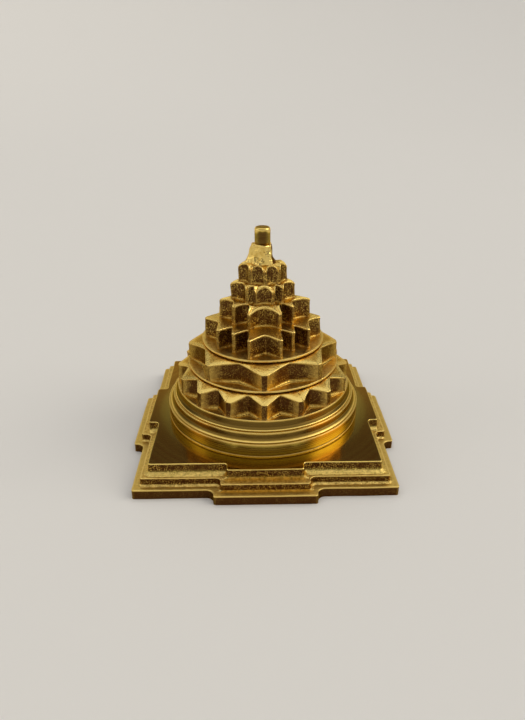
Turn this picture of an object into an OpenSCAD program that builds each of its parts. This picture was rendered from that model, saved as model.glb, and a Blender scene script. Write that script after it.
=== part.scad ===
// Meru shri yantra: a stepped brass pyramid built as a stack of separate tiers on one tie rod.
// Millimetres, +Z up. The origin is on the table under the middle of the base, and -Y is the front.
// The plan grows outwards from the star, ledge by ledge, so each tier stays seated on the one below.

/* [Star tiers] */
// Radius of the circle that the nine triangles are drawn in
star_r = 14.8; // [13:0.1:18]
// Height of the fourteen-pointed tier
fourteen_h = 4.9; // [3:0.1:7]
// Height of the outer ten-pointed tier
outer_ten_h = 5; // [3:0.1:7]
// Height of the inner ten-pointed tier
inner_ten_h = 4.4; // [3:0.1:7]
// Height of the eight-pointed tier
eight_h = 4.5; // [3:0.1:7]
// How much wider than the drawn plan the inner ten-pointed tier is cast
inner_ten_spread = 1.11; // [1.08:0.01:1.25]
// How much longer than the drawn plan the eight-pointed tier is cast, from side to side
eight_spread = 1.45; // [1.35:0.01:1.6]
// How much deeper than the drawn plan the eight-pointed tier is cast, from front to back
eight_depth = 1.18; // [1.1:0.01:1.3]
// Share of each hollow corner that is filled in on the inner ten-pointed tier
inner_ten_fill = 0.25; // [0:0.05:0.6]
// How far the front points of the eight-pointed tier are cast apart from the drawn plan
eight_shift = 0.5; // [0.2:0.05:0.6]
// How much longer than the drawn plan the left end of the eight-pointed tier is cast
eight_end = 0.8; // [0:0.1:1]
// How much longer than the drawn plan the right end of the outer ten-pointed tier is cast
outer_ten_end = 1.1; // [0:0.1:1.4]
// Depth of the hollows between the points of the eight-pointed tier
eight_hollow = 0.7; // [0.5:0.05:0.8]
// Length cut from both edges of each point on the two outer tiers
outer_tip_cut = 0.7; // [0.2:0.1:1.2]
// Length cut from both edges of each point on the two inner tiers
inner_tip_cut = 0.5; // [0.2:0.1:0.8]
// How far the front and back points of the fourteen-pointed tier droop
fourteen_droop = 0.4; // [0.1:0.1:1.5]
// How far the front and back points of the outer ten-pointed tier droop
outer_ten_droop = 1.2; // [0.1:0.1:1.5]
// How far the front and back points of the inner ten-pointed tier droop
inner_ten_droop = 1; // [0.1:0.1:1.5]
// How far the front and back points of the eight-pointed tier droop
eight_droop = 0.6; // [0.1:0.1:1.5]

/* [Lotus rings] */
// Ledge of the star disc around the fourteen points
star_disc_ledge = 0.3; // [0.1:0.1:2]
// Thickness of the star disc
star_disc_h = 0.9; // [0.5:0.1:2]
// Length of the eight petals, from the hollow between them to the tip
eight_petal_reach = 3.3; // [2:0.1:5]
// Height of the eight-petal ring
eight_petal_h = 5; // [3:0.1:8]
// Drop of the eight petals' tops from the disc to the tip
eight_petal_drop = 1.2; // [0.4:0.1:2]
// Ledge of the lotus disc around the eight petals
lotus_disc_ledge = 0.2; // [0.1:0.1:1.5]
// Thickness of the lotus disc
lotus_disc_h = 0.9; // [0.5:0.1:2]
// Length of the sixteen petals, from the hollow between them to the tip
sixteen_petal_reach = 2.6; // [1.5:0.1:4]
// Height of the sixteen-petal ring
sixteen_petal_h = 5; // [3:0.1:8]
// Drop of the sixteen petals' tops from the disc to the tip
sixteen_petal_drop = 1.4; // [0.4:0.1:2]
// Width of the flat at the tip of a petal
petal_tip_w = 1.2; // [0.4:0.1:2]
// Ledge between a disc's edge and the hollows of the petals under it
petal_notch_ledge = 0.2; // [0.1:0.1:1]

/* [Trivalaya: turned plinth rings] */
// Ledge of the plinth around the sixteen petals
plinth_ledge = 0.2; // [0.1:0.1:2]
// Height of the upper ring
upper_ring_h = 2.5; // [1.8:0.1:4]
// Height of the middle ring
middle_ring_h = 2.3; // [1.8:0.1:4]
// Height of the lower ring
lower_ring_h = 3.4; // [1.8:0.1:6]
// How much wider each ring's wall is than the wall above it
ring_step = 1.3; // [1:0.1:2.5]
// How far a ring's foot flares out past its wall
ring_flare = 0.8; // [0.2:0.1:0.9]
// Upright lip at the foot of a flared ring
ring_lip_h = 0.25; // [0.1:0.05:0.5]
// Height of the sloping flare above the lip
ring_slope_h = 0.5; // [0.2:0.1:0.8]
// Groove that is turned into the foot of the lower ring
foot_groove = 0.2; // [0.1:0.05:0.4]

/* [Bhupura: square terraces with a gate on each side] */
// Flat border of the upper terrace outside the plinth's foot
border = 2; // [1:0.1:6]
// Ledge that each terrace leaves on the one below it
terrace_ledge = 1.8; // [1:0.1:3]
// Thickness of the upper terrace
upper_terrace_h = 2.6; // [1.6:0.1:5]
// Thickness of the middle terrace
middle_terrace_h = 1.9; // [1.6:0.1:5]
// Thickness of the lower terrace
lower_terrace_h = 2.3; // [2.1:0.1:5]
// Width of the gates of the upper terrace
gate_w = 17.2; // [10:0.2:24]
// Ledge that a gate leaves beside it on the gate below
gate_ledge = 1.5; // [1:0.1:3]
// How far a gate stands out from its side
gate_out = 2.5; // [2:0.1:4]
// Radius of the terraces' outer corners
corner_r = 0.6; // [0.2:0.1:1]
// Radius of the hollow corners beside the gates of the upper terrace
gate_fillet_r = 0.8; // [0.2:0.1:1]
// How much larger that radius is on each terrace below
gate_fillet_step = 0.5; // [0:0.1:0.5]

/* [Trikona and bindu] */
// Height of the three-sided block
trikona_h = 4.4; // [3:0.1:7]
// Ledge from the block's blunt corners to the front point of the tier under it
trikona_ledge = 0.7; // [0.3:0.05:0.9]
// Distance from the axis to the block's sides, at its foot
trikona_side = 2.2; // [2.1:0.05:2.6]
// How far the sides lean in towards the top
trikona_side_lean = 0.2; // [0:0.05:0.3]
// How far the corners lean in towards the top
trikona_corner_lean = 1; // [0:0.1:1.2]
// Diameter of the pin at the top
bindu_d = 3.7; // [3.2:0.1:4]
// Height of the pin
bindu_h = 3.9; // [3:0.1:6]
// Rounding of the pin's top edge
bindu_edge_r = 0.6; // [0.2:0.1:1]

/* [Tie rod and nut] */
// Diameter of the tie rod
rod_d = 2; // [1.6:0.1:2.4]
// Length of the rod that is screwed into the pin
rod_grip = 2.4; // [1.5:0.1:2.8]
// Width of the nut across its flats
nut_w = 4; // [3.4:0.1:5]
// Thickness of the thin nut
nut_h = 1.2; // [0.8:0.1:1.4]
// Outside diameter of the washer
washer_d = 5; // [4:0.1:6]
// Thickness of the washer
washer_h = 0.3; // [0.2:0.05:0.4]
// How far the nut lies above the table
nut_recess = 0.2; // [0.1:0.05:0.3]
// Room around the washer for a socket wrench
wrench_room = 0.7; // [0.5:0.1:2]

/* [Registers and clearances] */
// Side of the square key between two terraces
terrace_key = 20; // [12:0.5:28]
// Diameter of the round spigot under each plinth ring
ring_spigot = 30; // [16:0.5:34]
// Diameter of the round spigot under the sixteen-petal ring
sixteen_spigot = 22; // [12:0.5:28]
// Diameter of the round spigot through the lotus disc
lotus_spigot = 16; // [8:0.5:20]
// Diameter of the round spigot through the star disc
star_spigot = 10; // [6:0.5:14]
// Side of the square key between two star tiers
star_key = 3.6; // [3:0.1:4]
// Diameter of the round spigot under the three-sided block
trikona_spigot = 3.2; // [2.9:0.1:3.4]
// Height of every key and spigot
key_h = 0.6; // [0.4:0.05:0.8]
// Clearance around a key or spigot in its socket
key_gap = 0.1; // [0.05:0.05:0.2]
// Clearance over the top of a key or spigot
key_top_gap = 0.15; // [0.1:0.05:0.3]
// Clearance around the rod in the tiers
rod_gap = 0.15; // [0.05:0.05:0.25]
// Clearance around the rod in the nut and in the pin
thread_gap = 0.05; // [0.02:0.01:0.1]
// Clearance past the rod's end inside the pin
rod_end_gap = 0.2; // [0.1:0.05:0.5]

/* [Hidden] */
$fn = 96;

// Brass as it looks polished, turned and rough from the mould
polished_brass = [0.86, 0.66, 0.25];
turned_brass = [0.78, 0.58, 0.20];
cast_brass = [0.62, 0.45, 0.16];

// A cutter runs this far past the face that it opens, and a key this far into its tier
past = 0.5;

// Levels of the stack, from the table up
middle_z = lower_terrace_h;
upper_z = middle_z + middle_terrace_h;
lower_ring_z = upper_z + upper_terrace_h;
middle_ring_z = lower_ring_z + lower_ring_h;
upper_ring_z = middle_ring_z + middle_ring_h;
sixteen_z = upper_ring_z + upper_ring_h;
lotus_disc_z = sixteen_z + sixteen_petal_h;
eight_petal_z = lotus_disc_z + lotus_disc_h;
star_disc_z = eight_petal_z + eight_petal_h;
fourteen_z = star_disc_z + star_disc_h;
outer_ten_z = fourteen_z + fourteen_h;
inner_ten_z = outer_ten_z + outer_ten_h;
eight_z = inner_ten_z + inner_ten_h;
trikona_z = eight_z + eight_h;
bindu_z = trikona_z + trikona_h;

// Radii of the round tiers, from the star outwards
star_disc_r = star_r + star_disc_ledge;
eight_notch_r = star_disc_r + petal_notch_ledge;
eight_tip_r = eight_notch_r + eight_petal_reach;
lotus_disc_r = eight_tip_r + lotus_disc_ledge;
sixteen_notch_r = lotus_disc_r + petal_notch_ledge;
sixteen_tip_r = sixteen_notch_r + sixteen_petal_reach;
upper_ring_r = sixteen_tip_r + plinth_ledge;
middle_ring_r = upper_ring_r + ring_step;
lower_ring_r = middle_ring_r + ring_step;
upper_terrace_half = lower_ring_r + border;

// The washer and the nut hang in a counterbore under the lower terrace
nut_z = nut_recess;
washer_z = nut_z + nut_h;
counterbore_h = washer_z + washer_h;
counterbore_d = washer_d + 2 * wrench_room;

// The nine triangles of the yantra, drawn in a circle of this radius. Eleven lines cross the circle
// from its top to its bottom, and line t is the base of triangle t.
drawn_r = 24;
line_level = [24, 18, 12, 7, 4, 1, -3, -6, -12, -18, -24];
// How much of its chord each triangle's base keeps, out of a whole chord's parts
base_parts = [0, 21, 19, 24, 8, 6, 8, 24, 20, 21];
chord_parts = 24;
// The line that each triangle's apex touches
apex_line = [0, 6, 9, 10, 8, 7, 2, 0, 1, 3];

function apex_level(t) = line_level[apex_line[t]];
function half_chord(t) = sqrt(drawn_r * drawn_r - line_level[t] * line_level[t]);
function half_base(t) = half_chord(t) * base_parts[t] / chord_parts;
function side_slope(t) = half_base(t) / (line_level[t] - apex_level(t));
function side_at(t, level) = side_slope(t) * (level - apex_level(t));

// Points of the right half of the drawing: a triangle's apex, its base's end, where its side
// crosses a line, and where the sides of two triangles cross
function apex(t) = [0, apex_level(t)];
function corner(t) = [half_base(t), line_level[t]];
function on_line(line, t) = [side_at(t, line_level[line]), line_level[line]];
function crossing(a, b) =
    let (level = (side_slope(a) * apex_level(a) - side_slope(b) * apex_level(b))
            / (side_slope(a) - side_slope(b)))
    [side_at(a, level), level];

// A length of the casting as a step up the drawing, for a tier that is cast with that spread
function up_drawing(length, spread = 1) = [0, length / spread * drawn_r / star_r];

// Each star from its top point to its bottom point, a point and a hollow corner by turns. One end of
// the outer ten-pointed tier is cast longer than it is drawn.
fourteen_half = [
    apex(7), on_line(1, 7), corner(1), on_line(2, 1), corner(2), on_line(3, 2), corner(3), crossing(3, 7),
    corner(7), on_line(7, 8), corner(8), on_line(8, 9), corner(9), on_line(9, 3), apex(3)
];
outer_ten_half = [
    apex(8) + up_drawing(outer_ten_end), on_line(2, 8), on_line(2, 7), on_line(3, 1), on_line(3, 7), crossing(2, 8),
    on_line(7, 3), on_line(7, 9), on_line(8, 3), on_line(8, 2), apex(2)
];
inner_ten_half = [
    apex(6), on_line(3, 6), on_line(3, 8), on_line(4, 1), corner(4), crossing(4, 6),
    corner(6), on_line(6, 9), on_line(7, 2), on_line(7, 4), apex(4)
];
// The eight-pointed tier's three front points are cast further apart than they are drawn, and its lower
// end is cast longer
shift = up_drawing(eight_shift, eight_spread);
eight_half = [
    apex(9), on_line(4, 9), on_line(4, 6) + shift, on_line(5, 1), corner(5) - shift / 2, crossing(5, 9),
    on_line(6, 4) - shift, on_line(6, 5), apex(5) - up_drawing(eight_end, eight_spread)
];

// How far each star reaches to the front and to the back
function reach(half, depth = 1) = max([for (p = half) p.x]) * star_r / drawn_r * depth;
fourteen_reach = reach(fourteen_half);
outer_ten_reach = reach(outer_ten_half);
inner_ten_reach = reach(inner_ten_half, inner_ten_spread);
eight_reach = reach(eight_half, eight_depth);

// Distance from the axis to the three-sided block's blunt corners, at its foot
trikona_corner = eight_reach - trikona_ledge;

// The half outline with its mirror image, point after point around the star, at its cast size
function cast_star(half, spread = 1, depth = 1) = [
    for (p = concat(half, [for (i = [len(half) - 2:-1:1]) [-half[i].x, half[i].y]]))
        [p.x * depth, p.y * spread] * star_r / drawn_r
];
function before(p, i) = p[(i + len(p) - 1) % len(p)];
function after(p, i) = p[(i + 1) % len(p)];
function middle(p, i) = (before(p, i) + after(p, i)) / 2;
function towards(a, b, d) = a + d * (b - a) / norm(b - a);

// The hollow corners moved out towards the middle of the line between their two points
function filled(p, fill) = [for (i = [0:len(p) - 1]) i % 2 == 0 ? p[i] : p[i] + fill * (middle(p, i) - p[i])];

// The hollow corners set at one depth behind the middle of that line
function hollowed(p, d) = [for (i = [0:len(p) - 1]) i % 2 == 0 ? p[i] : towards(middle(p, i), [0, 0], d)];

// The points cut blunt
function blunted(p, cut) = [
    for (i = [0:len(p) - 1]) each i % 2 == 1
        ? [p[i]]
        : [towards(p[i], before(p, i), cut), towards(p[i], after(p, i), cut)]
];

// Plan of a star tier: the yantra lies on its side, with its top towards +X
module star_plan(p, cut) {
    polygon([for (q = blunted(p, cut)) [q.y, q.x]]);
}

// Plan of a lotus ring: blunt petals with straight sides, one of them at the front
module petal_plan(count, tip_r, notch_r) {
    turn = 360 / count;
    half_tip = asin(petal_tip_w / 2 / tip_r);
    polygon([
        for (i = [0:count - 1], side = [-1, 0, 1])
            let (bearing = (i + (side == 1 ? 0.5 : 0)) * turn - 90 + (side == -1 ? -half_tip : 0)
                    + (side == 0 ? half_tip : 0),
                r = side == 1 ? notch_r : tip_r)
            r * [cos(bearing), sin(bearing)]
    ]);
}

// Lotus tier: its plan cut from a turned blank, flat out to flat_r and lower by drop at tip_r
module lotus_tier(h, flat_r, tip_r, drop) {
    intersection() {
        rotate_extrude() polygon([[0, -past], [tip_r, -past], [tip_r, h - drop], [flat_r, h], [0, h]]);
        linear_extrude(h + past) children();
    }
}

// Star tier: its plan cut from a blank with a roof's section, flat under the tier that stands on it
// and lower by drop at its front and back points
module star_tier(h, flat, tip, drop) {
    intersection() {
        rotate([90, 0, 90]) linear_extrude(2 * (star_r + past), center = true)
            polygon([
                [-tip, -past], [tip, -past], [tip, h - drop], [flat, h], [-flat, h], [-tip, h - drop]
            ]);
        linear_extrude(h + past) children();
    }
}

// Plan of a register, square or round, with room all round it
module register_plan(size, round, gap = 0) {
    if (round)
        circle(d = size + 2 * gap);
    else
        square(size + 2 * gap, center = true);
}

// Key that stands on a tier's top at height z, rooted in the tier, and its socket in the next tier's foot
module key(z, size, round = false, h = key_h) {
    translate([0, 0, z - past]) linear_extrude(past + h) register_plan(size, round);
}
module key_socket(size, round = false) {
    translate([0, 0, -past])
        linear_extrude(past + key_h + key_top_gap) register_plan(size, round, key_gap);
}

// Bore for the rod through a piece of height h and the key on top of it
module rod_bore(h) {
    translate([0, 0, -past]) cylinder(d = rod_d + 2 * rod_gap, h = h + 2 * past + key_h);
}

// Square with rounded corners
module rounded_square(x, y, r) {
    square([x - 2 * r, y], center = true);
    square([x, y - 2 * r], center = true);
    for (sx = [-1, 1], sy = [-1, 1])
        translate([sx * (x / 2 - r), sy * (y / 2 - r)]) circle(r);
}

// Filling of a hollow corner at the origin, in the quarter of +X and +Y
module hollow_fillet(r) {
    difference() {
        translate([-r, -r]) square(2 * r);
        translate([r, r]) circle(r);
    }
}

// Plan of a terrace, steps ledges below the upper one
module terrace_plan(steps) {
    half = upper_terrace_half + steps * terrace_ledge;
    gate_half = gate_w / 2 + steps * gate_ledge;
    fillet_r = min(gate_fillet_r + steps * gate_fillet_step, gate_out - corner_r);
    rounded_square(2 * half, 2 * half, corner_r);
    for (turn = [0, 90])
        rotate(turn) rounded_square(2 * gate_half, 2 * (half + gate_out), corner_r);
    for (turn = [0:90:270], side = [0, 1])
        rotate(turn) mirror([side, 0]) translate([gate_half, half]) hollow_fillet(fillet_r);
}

// Plinth ring with an upright wall, and a foot that flares out by flare
module plinth_ring(wall_r, h, flare) {
    rotate_extrude()
        polygon([
            [0, 0], [wall_r + flare, 0], [wall_r + flare, ring_lip_h],
            [wall_r, ring_lip_h + ring_slope_h], [wall_r, h], [0, h]
        ]);
}

// Cutter with a flat face at distance d from the axis, which leans in by lean over the block's height
module leaning_cutter(bearing, d, lean) {
    size = 4 * trikona_h;
    rotate(bearing) translate([d, 0, 0]) rotate([0, -atan(lean / trikona_h), 0])
        translate([0, -size / 2, -size / 2]) cube(size);
}

module bhupura_lower() {
    color(cast_brass) difference() {
        union() {
            linear_extrude(lower_terrace_h) terrace_plan(2);
            key(lower_terrace_h, terrace_key);
        }
        rod_bore(lower_terrace_h);
        translate([0, 0, -past]) cylinder(d = counterbore_d, h = past + counterbore_h);
    }
}

module bhupura_middle() {
    color(cast_brass) translate([0, 0, middle_z]) difference() {
        union() {
            linear_extrude(middle_terrace_h) terrace_plan(1);
            key(middle_terrace_h, terrace_key);
        }
        rod_bore(middle_terrace_h);
        key_socket(terrace_key);
    }
}

module bhupura_upper() {
    color(polished_brass) translate([0, 0, upper_z]) difference() {
        union() {
            linear_extrude(upper_terrace_h) terrace_plan(0);
            key(upper_terrace_h, ring_spigot, round = true);
        }
        rod_bore(upper_terrace_h);
        key_socket(terrace_key);
    }
}

module trivalaya_lower() {
    color(turned_brass) translate([0, 0, lower_ring_z]) difference() {
        union() {
            cylinder(r = lower_ring_r, h = lower_ring_h);
            key(lower_ring_h, ring_spigot, round = true);
        }
        rod_bore(lower_ring_h);
        key_socket(ring_spigot, round = true);
        foot_line();
    }
}

// Square groove around the foot of the lower ring
module foot_line() {
    translate([0, 0, ring_lip_h]) difference() {
        cylinder(r = lower_ring_r + past, h = foot_groove);
        translate([0, 0, -past]) cylinder(r = lower_ring_r - foot_groove, h = foot_groove + 2 * past);
    }
}

module trivalaya_middle() {
    color(turned_brass) translate([0, 0, middle_ring_z]) difference() {
        union() {
            plinth_ring(middle_ring_r, middle_ring_h, ring_flare);
            key(middle_ring_h, ring_spigot, round = true);
        }
        rod_bore(middle_ring_h);
        key_socket(ring_spigot, round = true);
    }
}

module trivalaya_upper() {
    color(turned_brass) translate([0, 0, upper_ring_z]) difference() {
        union() {
            plinth_ring(upper_ring_r, upper_ring_h, ring_flare);
            key(upper_ring_h, sixteen_spigot, round = true);
        }
        rod_bore(upper_ring_h);
        key_socket(ring_spigot, round = true);
    }
}

// The spigot on a lotus ring goes through the disc above it into the next tier
module sixteen_petal_lotus() {
    color(cast_brass) translate([0, 0, sixteen_z]) difference() {
        union() {
            lotus_tier(sixteen_petal_h, lotus_disc_r, sixteen_tip_r, sixteen_petal_drop)
                petal_plan(16, sixteen_tip_r, sixteen_notch_r);
            key(sixteen_petal_h, lotus_spigot, round = true, h = lotus_disc_h + key_h);
        }
        rod_bore(sixteen_petal_h + lotus_disc_h);
        key_socket(sixteen_spigot, round = true);
    }
}

module lotus_disc() {
    color(turned_brass) translate([0, 0, lotus_disc_z]) disc(lotus_disc_r, lotus_disc_h, lotus_spigot);
}

module eight_petal_lotus() {
    color(cast_brass) translate([0, 0, eight_petal_z]) difference() {
        union() {
            lotus_tier(eight_petal_h, star_disc_r, eight_tip_r, eight_petal_drop)
                petal_plan(8, eight_tip_r, eight_notch_r);
            key(eight_petal_h, star_spigot, round = true, h = star_disc_h + key_h);
        }
        rod_bore(eight_petal_h + star_disc_h);
        key_socket(lotus_spigot, round = true);
    }
}

module star_disc() {
    color(turned_brass) translate([0, 0, star_disc_z]) disc(star_disc_r, star_disc_h, star_spigot);
}

// Flat disc with a hole for the spigot that goes through it
module disc(r, h, spigot) {
    difference() {
        cylinder(r = r, h = h);
        translate([0, 0, -past]) cylinder(d = spigot + 2 * key_gap, h = h + 2 * past);
    }
}

module fourteen_point_star() {
    color(cast_brass) translate([0, 0, fourteen_z]) difference() {
        union() {
            star_tier(fourteen_h, outer_ten_reach, fourteen_reach, fourteen_droop)
                star_plan(cast_star(fourteen_half), outer_tip_cut);
            key(fourteen_h, star_key);
        }
        rod_bore(fourteen_h);
        key_socket(star_spigot, round = true);
    }
}

module outer_ten_point_star() {
    color(cast_brass) translate([0, 0, outer_ten_z]) difference() {
        union() {
            star_tier(outer_ten_h, inner_ten_reach, outer_ten_reach, outer_ten_droop)
                star_plan(cast_star(outer_ten_half), outer_tip_cut);
            key(outer_ten_h, star_key);
        }
        rod_bore(outer_ten_h);
        key_socket(star_key);
    }
}

module inner_ten_point_star() {
    inner_ten_cast = cast_star(inner_ten_half, inner_ten_spread, inner_ten_spread);
    color(cast_brass) translate([0, 0, inner_ten_z]) difference() {
        union() {
            star_tier(inner_ten_h, eight_reach, inner_ten_reach, inner_ten_droop)
                star_plan(filled(inner_ten_cast, inner_ten_fill), inner_tip_cut);
            key(inner_ten_h, star_key);
        }
        rod_bore(inner_ten_h);
        key_socket(star_key);
    }
}

module eight_point_star() {
    eight_cast = cast_star(eight_half, eight_spread, eight_depth);
    color(cast_brass) translate([0, 0, eight_z]) difference() {
        union() {
            star_tier(eight_h, trikona_corner, eight_reach, eight_droop)
                star_plan(hollowed(eight_cast, eight_hollow), inner_tip_cut);
            key(eight_h, trikona_spigot, round = true);
        }
        rod_bore(eight_h);
        key_socket(star_key);
    }
}

// Three sides and three blunt corners are planed off a round blank. One corner points to -X.
module trikona() {
    color(cast_brass) translate([0, 0, trikona_z]) difference() {
        cylinder(r = 2 * trikona_corner, h = trikona_h);
        for (turn = [0:120:240]) {
            leaning_cutter(turn, trikona_side, trikona_side_lean);
            leaning_cutter(turn + 180, trikona_corner, trikona_corner_lean);
        }
        rod_bore(trikona_h);
        key_socket(trikona_spigot, round = true);
    }
}

module bindu() {
    bindu_r = bindu_d / 2;
    color(polished_brass) translate([0, 0, bindu_z]) difference() {
        rotate_extrude() {
            square([bindu_r - bindu_edge_r, bindu_h]);
            square([bindu_r, bindu_h - bindu_edge_r]);
            translate([bindu_r - bindu_edge_r, bindu_h - bindu_edge_r]) circle(bindu_edge_r);
        }
        translate([0, 0, -past])
            cylinder(d = rod_d + 2 * thread_gap, h = past + rod_grip + rod_end_gap);
    }
}

module tie_rod() {
    color(turned_brass) translate([0, 0, nut_z]) cylinder(d = rod_d, h = bindu_z + rod_grip - nut_z);
}

module washer() {
    color(turned_brass) translate([0, 0, washer_z]) difference() {
        cylinder(d = washer_d, h = washer_h);
        rod_bore(washer_h);
    }
}

// Hexagon nut, with its width across the flats
module nut() {
    color(turned_brass) translate([0, 0, nut_z]) difference() {
        cylinder(d = nut_w / cos(30), h = nut_h, $fn = 6);
        translate([0, 0, -past]) cylinder(d = rod_d + 2 * thread_gap, h = nut_h + 2 * past);
    }
}

bhupura_lower();
bhupura_middle();
bhupura_upper();
trivalaya_lower();
trivalaya_middle();
trivalaya_upper();
sixteen_petal_lotus();
lotus_disc();
eight_petal_lotus();
star_disc();
fourteen_point_star();
outer_ten_point_star();
inner_ten_point_star();
eight_point_star();
trikona();
bindu();
tie_rod();
washer();
nut();
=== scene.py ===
# %% [markdown]
# # A meru shri yantra in brass
#
# A meru is the shri yantra raised into a small stepped pyramid. This one is a stack of brass tiers:
# square terraces with gates, turned plinth rings, two rings of lotus petals, four stars, a three-sided
# block and a round pin. The construction is already done in CAD, with every piece at its real size.
# This lesson gives each piece the skin that the real casting has: edges rubbed round and bright,
# hollows that the polishing wheel never reached, fine lines from the lathe. Some of that skin is
# painted light: painted highlights on coves, flanks, faces and shoulders, and painted shade and dark
# reflections on walls, hollows and grooves.
#
# Everything is fitted to the imported CAD model, which is loaded first and is never moved.

# %% Load the frame
from math import radians

import bpy
import numpy as np
from mathutils import Matrix, Vector


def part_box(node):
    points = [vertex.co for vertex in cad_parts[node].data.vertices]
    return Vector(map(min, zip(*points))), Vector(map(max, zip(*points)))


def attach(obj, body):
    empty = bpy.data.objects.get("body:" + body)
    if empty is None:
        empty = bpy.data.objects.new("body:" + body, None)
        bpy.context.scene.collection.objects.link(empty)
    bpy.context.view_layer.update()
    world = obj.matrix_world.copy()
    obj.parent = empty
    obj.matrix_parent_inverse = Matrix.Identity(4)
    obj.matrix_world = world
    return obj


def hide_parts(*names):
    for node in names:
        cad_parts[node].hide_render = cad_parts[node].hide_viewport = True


MM = 0.001
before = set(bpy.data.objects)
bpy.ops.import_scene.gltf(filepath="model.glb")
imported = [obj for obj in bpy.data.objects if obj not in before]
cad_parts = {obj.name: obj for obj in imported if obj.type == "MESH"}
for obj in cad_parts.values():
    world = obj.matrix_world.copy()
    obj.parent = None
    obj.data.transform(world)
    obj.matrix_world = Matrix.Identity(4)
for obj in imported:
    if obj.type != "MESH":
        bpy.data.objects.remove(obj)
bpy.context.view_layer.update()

# %% [markdown]
# ## The camera
#
# The camera comes before the object, so that every later render can be held against the photograph.
# Its place was found by matching the corners of the terraces and the tips of the petals. A phone lens
# held about two and a half base widths away gives this strong perspective, so the distance matters as
# much as the angle.

# %% Camera
CAMERA_PLACE = (-2.55, -134.4, 85.45)
LOOK_RIGHT = 1.05
LOOK_DOWN = 26.08
CAMERA_ROLL = -0.17
LENS = 29.23
NEAREST_SEEN = 1

camera_data = bpy.data.cameras.new("portrait_camera")
camera_data.lens = LENS
camera_data.clip_start = NEAREST_SEEN * MM
camera = bpy.data.objects.new("portrait_camera", camera_data)
bpy.context.scene.collection.objects.link(camera)
camera.matrix_world = (
    Matrix.Translation([c * MM for c in CAMERA_PLACE])
    @ Matrix.Rotation(radians(-LOOK_RIGHT), 4, "Z")
    @ Matrix.Rotation(radians(90 - LOOK_DOWN), 4, "X")
    @ Matrix.Rotation(radians(CAMERA_ROLL), 4, "Z")
)
bpy.context.scene.camera = camera
print("camera at", CAMERA_PLACE, "mm, lens", LENS, "mm")

# %% [markdown]
# ## One skin for every tier
#
# Each tier has a hole for the tie rod, so its skin is a ring that closes on itself in both directions:
# round the axis, and from the bore's mouth over the key, the top, the wall and the foot back into the
# bore. A grid of points that wraps both ways has no seam to stitch and no pole to cap. The other way
# would be to bevel the CAD mesh, but its loose triangles don't bevel well, and a grid also lets every
# point carry marks that the materials can read: how rubbed it is, with painted highlights, and how
# tarnished it is, with painted shade and dark reflections.

# %% Skins from grids
def skin(name, points, faces, marks):
    """Smooth mesh from points in mm, a list of face arrays, and a value at each point for each mark."""
    sizes = np.concatenate([np.full(len(part), part.shape[1]) for part in faces])
    corners = np.concatenate([part.ravel() for part in faces])
    mesh = bpy.data.meshes.new(name)
    mesh.vertices.add(len(points))
    mesh.vertices.foreach_set("co", (points * MM).astype(np.float32).ravel())
    mesh.loops.add(len(corners))
    mesh.loops.foreach_set("vertex_index", corners.astype(np.int32))
    mesh.polygons.add(len(sizes))
    mesh.polygons.foreach_set("loop_start", (np.cumsum(sizes) - sizes).astype(np.int32))
    mesh.polygons.foreach_set("use_smooth", np.ones(len(sizes), bool))
    for mark, values in marks.items():
        layer = mesh.attributes.new(mark, "FLOAT", "POINT")
        layer.data.foreach_set("value", np.clip(values, 0, 1).astype(np.float32).ravel())
    mesh.update(calc_edges=True)
    return mesh


def closed_skin(name, rings, rubbed_and_lit, tarnished_and_shaded):
    """Skin of a grid that closes both ways.

    Point j of ring i joins point j + 1 of the same ring and point j of the next ring, and the last
    ring and the last point join the first ones. Rings run outwards over the top and down the wall, and
    points run anticlockwise, so that faces point outwards.
    """
    here = np.arange(rings[..., 0].size).reshape(rings.shape[:2])
    beside = np.roll(here, -1, axis=1)
    quads = np.stack([here, np.roll(here, -1, axis=0), np.roll(beside, -1, axis=0), beside], axis=-1)
    marks = {"rubbed_and_lit": rubbed_and_lit, "tarnished_and_shaded": tarnished_and_shaded}
    return skin(name, rings.reshape(-1, 3), [quads.reshape(-1, 4)], marks)


def strip(rows, columns):
    """A grid that closes round the axis only: its faces, each point's number, and the next one's."""
    here = np.arange(rows * columns).reshape(rows, columns)
    beside = np.roll(here, -1, axis=1)
    quads = np.stack([here[:-1], here[1:], beside[1:], beside[:-1]], axis=-1)
    return quads.reshape(-1, 4), here, beside


def put(name, mesh, material):
    """Places a finished skin in the scene, where it stands for the CAD node of its name."""
    piece = bpy.data.objects.new(name + "_skin", mesh)
    bpy.context.scene.collection.objects.link(piece)
    mesh.materials.append(material)
    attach(piece, "root")
    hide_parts(name)
    print(f"{name}: {len(mesh.vertices)} points, {len(mesh.polygons)} faces")
    return piece


# %% [markdown]
# ## Reading the plan from the CAD foot
#
# The outline of a tier is already in its CAD solid, so it isn't drawn a second time. The lowest corners
# of the node, sorted by their bearing from the axis, are the plan. The solid has plain notches between
# the points of a star. On the casting they are rounded niches with an arched upper edge, so each notch
# is bent into an arch that still touches the same three corners. A walk along the line at even steps
# then gives the points of the grid, and a short average rounds the points of the star.

# %% Corners of a plan
SAME_LEVEL = 0.01


def node_points(node):
    """Corners of a CAD node's mesh in mm."""
    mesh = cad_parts[node].data
    flat = np.empty(3 * len(mesh.vertices), np.float32)
    mesh.vertices.foreach_get("co", flat)
    return flat.reshape(-1, 3).astype(float) / MM


def from_axis(plan):
    """Distance from the axis."""
    return np.linalg.norm(plan, axis=-1)


def corners_at(points, level, beyond):
    """Plan of the points at one level that lie further than beyond from the axis, sorted by bearing."""
    at_level = np.abs(points[:, 2] - level) < SAME_LEVEL
    plan = np.unique(points[at_level & (from_axis(points[:, :2]) > beyond), :2].round(3), axis=0)
    return plan[np.argsort(np.arctan2(plan[:, 1], plan[:, 0]))]


print("corners in the mesh of the lowest star:", len(node_points("fourteen_point_star")))

# %% Arches
ARCH_STEPS = 24


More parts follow.
